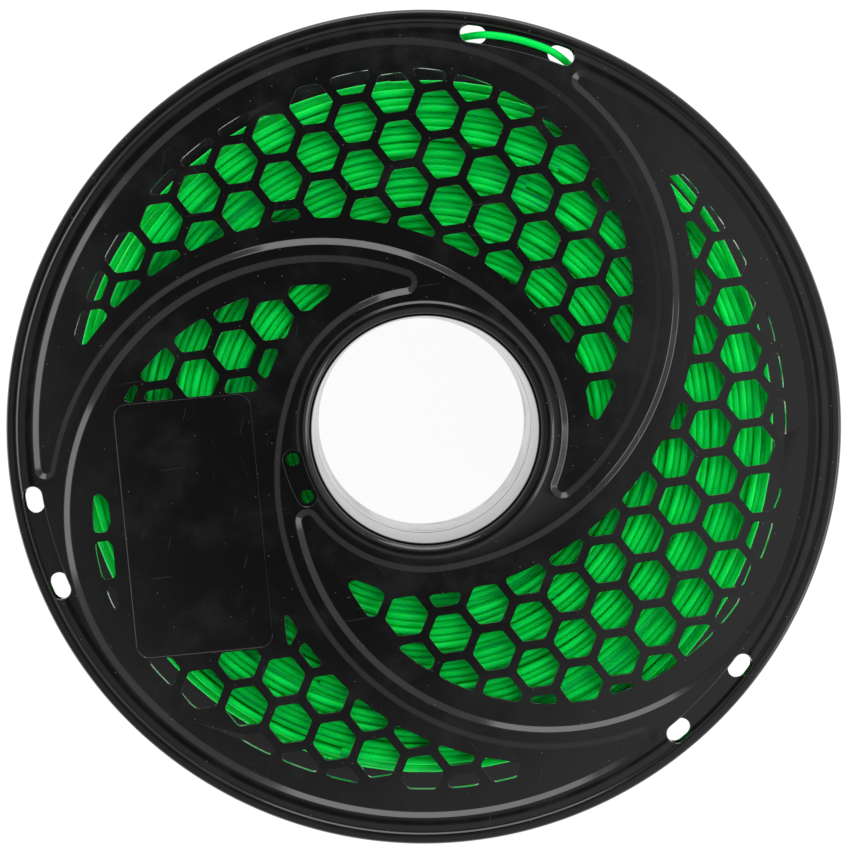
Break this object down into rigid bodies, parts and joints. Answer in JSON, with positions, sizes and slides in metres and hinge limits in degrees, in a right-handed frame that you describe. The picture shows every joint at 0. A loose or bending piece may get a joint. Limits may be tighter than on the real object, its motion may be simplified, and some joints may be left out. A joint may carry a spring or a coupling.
{
  "type": "filament spool",
  "caption": "Flanged moulded spool in two halves with swirling honeycomb flanges, a plain bore, rim clip slots and a full winding of filament.",
  "frame": {"origin": "centre of the face that the spool rests on, on its axis", "axes": "+Z along the spool's axis, up out of the pictured flange; +Y towards the top of the picture"},
  "size_m": [0.2, 0.2, 0.057],
  "materials": {
    "black_plastic": "black injection-moulded plastic, satin to glossy, fine scuffs and dust",
    "green_filament": "bright green extruded filament, glossy"
  },
  "bodies": {
    "root": {"upper_spool_half": "black_plastic", "lower_spool_half": "black_plastic", "filament_winding": "green_filament", "filament_loose_end": "green_filament"}
  },
  "joints": []
}
